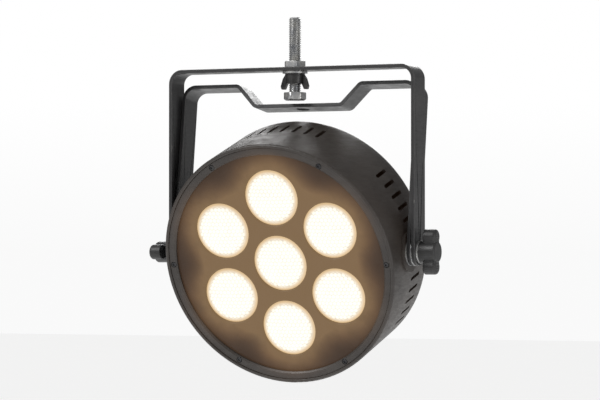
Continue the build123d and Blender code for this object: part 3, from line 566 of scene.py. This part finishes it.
def hanging_bolt():
    """M10 bolt: chamfered hexagon head below, helical thread all the way up."""
    low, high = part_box("hanging_bolt")
    nut_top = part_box("bolt_lock_nut")[1].z
    head_top = low.z + BOLT_HEAD
    build = bmesh.new()
    rings = head_rings(build, low.z, head_top) + thread_rings(build, head_top, high.z, nut_top)
    for lower, upper in zip(rings, rings[1:]):
        stitch(build, lower, upper)
    build.faces.new(list(reversed(rings[0])))
    build.faces.new(rings[-1])
    piece = add_piece("hanging_bolt_threaded", build, "zinc_steel", "hanging_bracket", "hanging_bolt")
    shade_smooth(piece.data)
    keep_sharp(piece, 40)


# Lenses with beaded fronts ----------------------------------------------------------------------

LENS_RINGS = 30
LENS_ANGLES = angles(126)
LENS_CROWN = 2.4 * MM                 # how far the front falls from its middle to its edge
LENS_RIM_DROP = 2.6 * MM              # how far behind the middle the edge itself lies
LENS_INSET = 0.02 * MM                # keeps the front inside the CAD lens
FLANGE_FRONT = 4.2 * MM               # how far the flange's faces lie behind the lens's front
FLANGE_BACK = 5.7 * MM
BEADS_FADE = 0.86                     # share of the radius where the beads begin to fade out
BEADS_END = 0.9                       # share of the radius where they stop glowing as beads
BEAD_PITCH = 3.4 * MM
BEAD_REACH = 0.58 * BEAD_PITCH
BEAD_HEIGHT = 0.30 * MM


def bead_at(x, z):
    """0 to 1: height of a honeycomb of round beads."""
    row_step = BEAD_PITCH * math.sqrt(3) / 2
    row = round(z / row_step)
    nearest = BEAD_REACH
    for near_row in (row - 1, row, row + 1):
        shift = BEAD_PITCH / 2 if near_row % 2 else 0.0
        column = round((x - shift) / BEAD_PITCH)
        for near_column in (column - 1, column, column + 1):
            away = math.hypot(x - shift - near_column * BEAD_PITCH, z - near_row * row_step)
            nearest = min(nearest, away)
    return 1 - (nearest / BEAD_REACH) ** 2


def lens_vertex(build, place, values):
    """A vertex, with its value in each of the lens's layers."""
    vertex = build.verts.new(place)
    for name, value in zip(LENS_LAYERS, values):
        vertex[build.verts.layers.float[name]] = value
    return vertex


def lens_front_ring(build, share):
    """Ring of the beaded front, at a share of the lens's radius."""
    reach = LENS_RADIUS * share
    fade = 1 - max(0.0, (share - BEADS_FADE) / (1 - BEADS_FADE))
    fall = LENS_CROWN * share ** 2 if share < 1 else LENS_RIM_DROP
    made = []
    for angle in LENS_ANGLES:
        x, z = reach * math.cos(angle), reach * math.sin(angle)
        raised = bead_at(x, z) * fade
        place = (x, fall + BEAD_HEIGHT * (1 - raised) + LENS_INSET, z)
        made.append(lens_vertex(build, place, (share, raised if share < BEADS_END else 0.5, 1.0)))
    return made


def lens_back_ring(build, reach, back):
    return [lens_vertex(build, (reach * math.cos(angle), back, reach * math.sin(angle)), (1.0, 0.4, 0.0))
            for angle in LENS_ANGLES]


def lens_mesh():
    """Lens about its own axis: X and Z across, -Y towards the front, origin at the front's middle."""
    low, high = LENS_BOXES["lens_1"]
    flange = (high.x - low.x) / 2
    depth = high.y - low.y
    build = bmesh.new()
    for name in LENS_LAYERS:
        build.verts.layers.float.new(name)
    pole = lens_vertex(build, (0, BEAD_HEIGHT * 0.3, 0), (0.0, 1.0, 1.0))
    rings = [lens_front_ring(build, step / LENS_RINGS) for step in range(1, LENS_RINGS + 1)]
    rings += [lens_back_ring(build, reach, back) for reach, back in (
        (LENS_RADIUS, FLANGE_FRONT), (flange, FLANGE_FRONT), (flange, FLANGE_BACK),
        (LENS_RADIUS * 0.95, FLANGE_BACK), (LENS_RADIUS * 0.69, depth * 0.62), (LENS_RADIUS * 0.31, depth))]
    for vertex, after in zip(rings[0], rings[0][1:] + rings[0][:1]):
        build.faces.new((pole, vertex, after))
    for inner, outer in zip(rings, rings[1:]):
        stitch(build, inner, outer)
    build.faces.new(list(reversed(rings[-1])))
    bmesh.ops.recalc_face_normals(build, faces=build.faces)
    return build


def lenses():
    for node in LENS_NODES:
        build = lens_mesh()
        place = HEAD @ Matrix.Translation(lens_front(node))
        bmesh.ops.transform(build, matrix=place, verts=build.verts)
        piece = add_piece(f"{node}_beaded", build, "lens_acrylic", "head", node)
        shade_smooth(piece.data)
        keep_sharp(piece, 60)


# Display digits ---------------------------------------------------------------------------------

DIGITS = 4
DIGIT_PITCH = 9.5 * MM
DIGIT_WIDTH = 6.2 * MM
DIGIT_HEIGHT = 11.5 * MM
BAR_WIDTH = 1.3 * MM
BAR_PROUD = 0.25 * MM                 # in front of the display's face
BAR_ROOT = 0.1 * MM                   # behind it


def display_digits():
    """Four seven-segment digits just behind the window; only the middle bars are lit."""
    low, high = head_box("display_module")
    z = (low.z + high.z) / 2
    lit = bmesh.new()
    unlit = bmesh.new()
    for place in range(DIGITS):
        x = (low.x + high.x) / 2 + (place - (DIGITS - 1) / 2) * DIGIT_PITCH
        for level in (-1, 0, 1):
            bar(unlit if level else lit, x, z + level * DIGIT_HEIGHT / 2, high.y, True)
        for side in (-1, 1):
            for level in (-1, 1):
                bar(unlit, x + side * DIGIT_WIDTH / 2, z + level * DIGIT_HEIGHT / 4, high.y, False)
    for build in (lit, unlit):
        bmesh.ops.transform(build, matrix=HEAD, verts=build.verts)
    red = glowing("lit_segment", (0.6, 0.05, 0.03), (1.0, 0.06, 0.03), 4.0, 600)
    add_piece("display_bars_lit", lit, "display_plastic", "head", material=red)
    add_piece("display_bars_unlit", unlit, "display_plastic", "head", material=MATERIALS["switch_plastic"])


def bar(build, x, z, face, lies_flat):
    """Six-sided bar with pointed ends, a little proud of the display's face."""
    half = ((DIGIT_WIDTH if lies_flat else DIGIT_HEIGHT / 2) - BAR_WIDTH * 0.9) / 2
    side = BAR_WIDTH / 2
    outline = [(-half, 0), (-half + side, side), (half - side, side),
               (half, 0), (half - side, -side), (-half + side, -side)]
    if not lies_flat:
        outline = [(across, along) for along, across in outline]
    front = [build.verts.new((x + right, face + BAR_PROUD, z + up)) for right, up in outline]
    back = [build.verts.new((x + right, face - BAR_ROOT, z + up)) for right, up in outline]
    build.faces.new(front)
    build.faces.new(list(reversed(back)))
    stitch(build, front, back)
    bmesh.ops.recalc_face_normals(build, faces=build.faces)


# Grip ribs of the hand knobs --------------------------------------------------------------------

RIB_START = 9.6 * MM                  # from the knob's axis to the first rib of each wing
RIB_PITCH = 1.9 * MM
RIB_HALVES = (3.6 * MM, 3.9 * MM, 3.5 * MM, 2.2 * MM)
RIB_RADIUS = 0.5 * MM
RIB_PROUD = 0.42 * MM
RIB_ROOT = 0.15 * MM
RIB_SEAT = 0.62 * MM                  # from the knob's outermost point back to the face of its wings
RIB_SECTIONS = (-1, -0.8, -0.4, 0, 0.4, 0.8, 1)
RIB_ARC = 6


def knob_ribs(side, wings_upright):
    """Raised ribs across the outer face of each wing of a hand knob."""
    node = f"knob_{side}"
    low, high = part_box(node)
    sign = 1 if side == "right" else -1
    face = (high.x if sign > 0 else low.x) - sign * RIB_SEAT
    build = bmesh.new()
    for end in (-1, 1):
        for step, half in enumerate(RIB_HALVES):
            reach = end * (RIB_START + RIB_PITCH * step)
            rib(build, face, sign, reach, half, wings_upright)
    piece = add_piece(f"{node}_ribs", build, "knob_plastic", node)
    shade_smooth(piece.data)


def rib_section(build, face, sign, reach, along, swell, upright):
    """Half-round outline of a rib at one place along it."""
    made = []
    for turn in range(RIB_ARC + 1):
        angle = math.pi * turn / RIB_ARC
        across = RIB_RADIUS * swell * math.cos(angle)
        proud = RIB_PROUD * swell * math.sin(angle) - RIB_ROOT
        y, z = (along, reach + across) if upright else (reach + across, along)
        made.append(build.verts.new((face + sign * proud, PIVOT.y + y, PIVOT.z + z)))
    return made


def rib(build, face, sign, reach, half, upright):
    """One rounded rib: a half-round bar with tapered ends."""
    sections = []
    for share in RIB_SECTIONS:
        swell = math.sqrt(max(0.04, 1 - abs(share) ** 3))
        sections.append(rib_section(build, face, sign, reach, share * half, swell, upright))
    for first, second in zip(sections, sections[1:]):
        stitch(build, first, second)
    build.faces.new(sections[0])
    build.faces.new(sections[-1])
    bmesh.ops.recalc_face_normals(build, faces=build.faces)


# Stage, light and camera ------------------------------------------------------------------------

FLOOR_DROP = 0.9                      # how far below the light the floor lies
FLOOR_REACH = 30.0
ROOM_LOW = 0.18                       # light of the room from below and from above
ROOM_HIGH = 0.50
BACKDROP_LOW = 0.95                   # brightness of the backdrop where it meets the floor, and above
BACKDROP_HIGH = 1.0


def floor():
    low, high = cad_bounds
    build = bmesh.new()
    bmesh.ops.create_grid(build, x_segments=8, y_segments=8, size=FLOOR_REACH)
    mesh = bpy.data.meshes.new("floor")
    build.to_mesh(mesh)
    build.free()
    mesh.materials.append(pale_floor("floor"))
    thing = bpy.data.objects.new("floor", mesh)
    thing.location.z = low.z - FLOOR_DROP
    bpy.context.scene.collection.objects.link(thing)


def area_light(name, place, target, width, height, power):
    lamp = bpy.data.lights.new(name, "AREA")
    lamp.shape = "RECTANGLE"
    lamp.size = width
    lamp.size_y = height
    lamp.energy = power
    thing = bpy.data.objects.new(name, lamp)
    thing.location = place
    thing.rotation_euler = (target - place).to_track_quat("-Z", "Y").to_euler()
    bpy.context.scene.collection.objects.link(thing)


def world_shade(tree, height, low, high, start, end):
    """White background whose strength rises from low to high as the direction turns up."""
    rise = tree.nodes.new("ShaderNodeMapRange")
    tree.links.new(height, rise.inputs["Value"])
    for socket, amount in (("From Min", start), ("From Max", end), ("To Min", low), ("To Max", high)):
        rise.inputs[socket].default_value = amount
    shade = tree.nodes.new("ShaderNodeBackground")
    shade.inputs["Color"].default_value = (1, 1, 1, 1)
    tree.links.new(rise.outputs["Result"], shade.inputs["Strength"])
    return shade.outputs[0]


def studio_world():
    """Room light that is soft and stronger from above; what is seen behind the light is near white."""
    world = bpy.data.worlds.new("studio")
    world.use_nodes = True
    tree = world.node_tree
    place = tree.nodes.new("ShaderNodeTexCoord")
    split = tree.nodes.new("ShaderNodeSeparateXYZ")
    tree.links.new(place.outputs["Generated"], split.inputs[0])
    room = world_shade(tree, split.outputs["Z"], ROOM_LOW, ROOM_HIGH, -0.2, 0.9)
    backdrop = world_shade(tree, split.outputs["Z"], BACKDROP_LOW, BACKDROP_HIGH, 0.0, 0.05)
    path = tree.nodes.new("ShaderNodeLightPath")
    choice = tree.nodes.new("ShaderNodeMixShader")
    tree.links.new(path.outputs["Is Camera Ray"], choice.inputs[0])
    tree.links.new(room, choice.inputs[1])
    tree.links.new(backdrop, choice.inputs[2])
    tree.links.new(choice.outputs[0], tree.nodes["World Output"].inputs["Surface"])
    bpy.context.scene.world = world


def lights():
    low, high = cad_bounds
    centre = (low + high) / 2
    studio_world()
    area_light("key", centre + Vector((-1.0, -1.4, 1.3)), centre, 0.9, 0.9, 26)
    area_light("side", centre + Vector((1.7, -0.7, 0.2)), centre, 0.25, 1.5, 6)
    area_light("back", centre + Vector((-0.6, 1.6, 0.9)), centre, 0.9, 0.9, 14)


CAMERA_AZIMUTH = math.radians(25)
CAMERA_ELEVATION = math.radians(-1)
CAMERA_LENS = 180.0
CAMERA_FAR = 200
SENSOR = 36.0
FRAME_SHAPE = 600 / 400
FRAME_ROOM = 1.10                     # the frame's height over the object's


def camera():
    low, high = cad_bounds
    back = Vector((math.sin(CAMERA_AZIMUTH) * math.cos(CAMERA_ELEVATION),
                   -math.cos(CAMERA_AZIMUTH) * math.cos(CAMERA_ELEVATION),
                   math.sin(CAMERA_ELEVATION)))
    frame_height = (high.z - low.z) * FRAME_ROOM
    distance = frame_height * CAMERA_LENS / (SENSOR / FRAME_SHAPE)
    data = bpy.data.cameras.new("camera")
    data.lens = CAMERA_LENS
    data.sensor_width = SENSOR
    data.clip_end = CAMERA_FAR
    thing = bpy.data.objects.new("camera", data)
    thing.location = (low + high) / 2 + back * distance
    thing.rotation_euler = (-back).to_track_quat("-Z", "Y").to_euler()
    bpy.context.scene.collection.objects.link(thing)
    bpy.context.scene.camera = thing


# Everything together ----------------------------------------------------------------------------

dress_all()
hanging_bolt()
lenses()
display_digits()
knob_ribs("right", True)
knob_ribs("left", False)
floor()
camera()
lights()
bpy.context.scene.view_settings.view_transform = "Standard"
bpy.context.scene.view_settings.look = "None"
